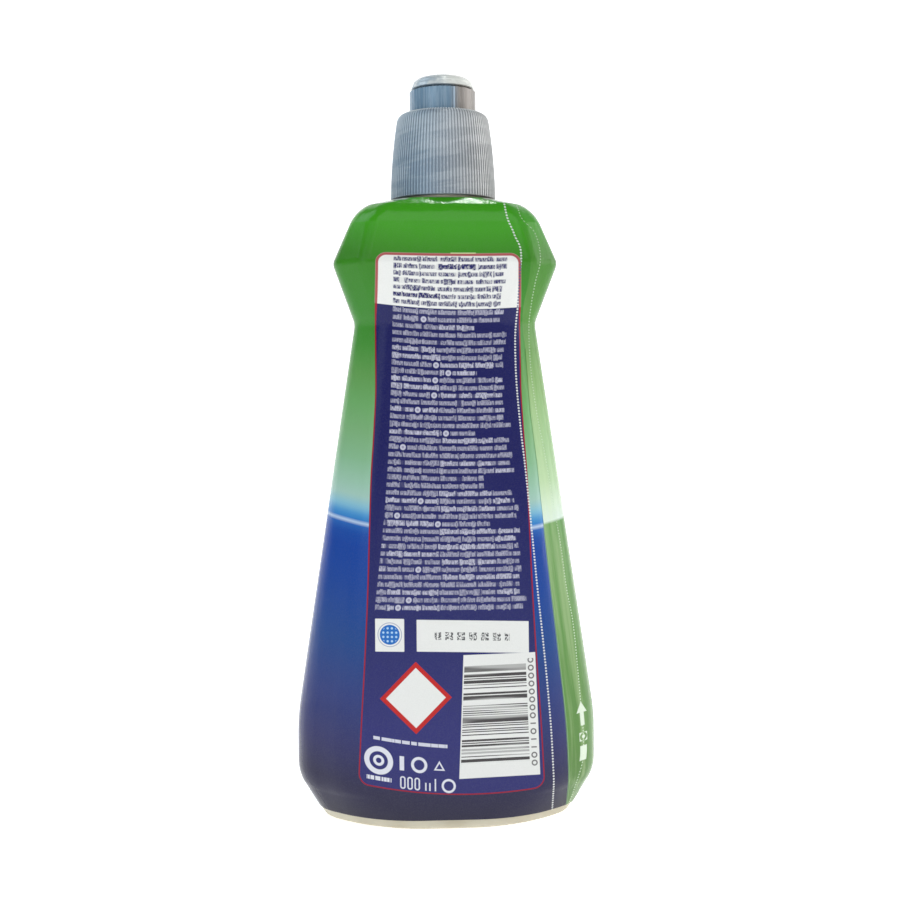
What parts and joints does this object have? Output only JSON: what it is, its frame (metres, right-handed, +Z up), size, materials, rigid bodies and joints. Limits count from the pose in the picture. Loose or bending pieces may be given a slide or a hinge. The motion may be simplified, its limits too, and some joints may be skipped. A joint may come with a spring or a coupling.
{
  "type": "rinse aid bottle",
  "caption": "Waisted bottle with bevelled corners in a printed shrink sleeve, holding rinse aid, with a ribbed screw cap, a sealing liner and a push-pull nozzle.",
  "frame": {"origin": "on the ground, under the middle of the bottle's foot", "axes": "+Z up through the neck; +X along the bottle's width; +Y away from the printed back panel, which faces -Y"},
  "size_m": [0.0908, 0.0446, 0.2243],
  "materials": {
    "bottle": "natural white blow-moulded polyethylene",
    "sleeve": "printed glossy shrink film, green over blue",
    "rinse_aid": "clear blue liquid",
    "liner": "white foamed polyethylene",
    "cap": "silver-grey moulded polypropylene, satin",
    "nozzle": "silver-grey moulded polypropylene, glossy"
  },
  "bodies": {
    "bottle": {"bottle": "bottle", "sleeve": "sleeve", "rinse_aid": "rinse_aid"},
    "liner": {"liner": "liner"},
    "cap": {"cap": "cap"},
    "nozzle": {"nozzle": "nozzle"}
  },
  "joints": [
    {"name": "cap_lift", "type": "slide", "parent": "bottle", "child": "liner", "axis": [0, 0, 1], "range_m": [0, 0.025]},
    {"name": "cap_turn", "type": "hinge", "parent": "liner", "child": "cap", "pos_m": [0, 0, 0.2], "axis": [0, 0, 1], "range_deg": [0, 2100]},
    {"name": "nozzle_pull", "type": "slide", "parent": "cap", "child": "nozzle", "axis": [0, 0, 1], "range_m": [0, 0.0049]}
  ],
  "couplings": [
    {"joint": "cap_lift", "follows": "cap_turn", "m_per_rad": 0.00067323}
  ]
}
